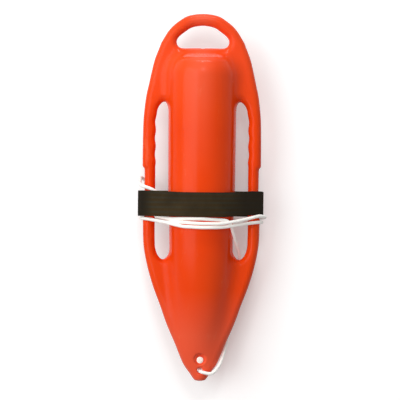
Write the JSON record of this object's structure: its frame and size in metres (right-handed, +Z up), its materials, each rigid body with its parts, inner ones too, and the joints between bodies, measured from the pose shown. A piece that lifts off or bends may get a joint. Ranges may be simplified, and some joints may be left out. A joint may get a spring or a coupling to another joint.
{
  "type": "rescue can buoy",
  "caption": "Moulded rescue can with a pointed nose, side handles and a tail grip, a shoulder strap wrapped round its waist and a tow line wound beside it.",
  "frame": {"origin": "on the ground, under the middle of the can's outline, with the can lying on its back", "axes": "+X to the right handle, +Y from the nose to the tail grip, +Z up"},
  "size_m": [0.253, 0.7193, 0.1422],
  "materials": {
    "shell": "satin moulded polyethylene",
    "foam": "closed-cell foam",
    "plug": "satin",
    "webbing": "woven",
    "steel": "polished wire",
    "line": "braided",
    "nylon": "satin",
    "twine": "waxed"
  },
  "bodies": {
    "can": {"moulded_shell": "shell", "foam_core": "foam", "vent_plug": "plug", "shoulder_strap": "webbing", "ring_tab": "webbing", "towline_winding": "line", "towline_hitch": "line", "stopper_washer": "nylon", "towline_lead": "line", "towline_tail": "line"},
    "ring": {"strap_ring": "steel", "towline_eye": "line", "eye_whipping": "twine"}
  },
  "joints": [
    {"name": "ring_swing", "type": "hinge", "parent": "can", "child": "ring", "pos_m": [-0.0777, -0.0133, 0.01545], "axis": [0, 1, 0], "range_deg": [-20, 20], "deforming": ["towline_tail"]}
  ]
}
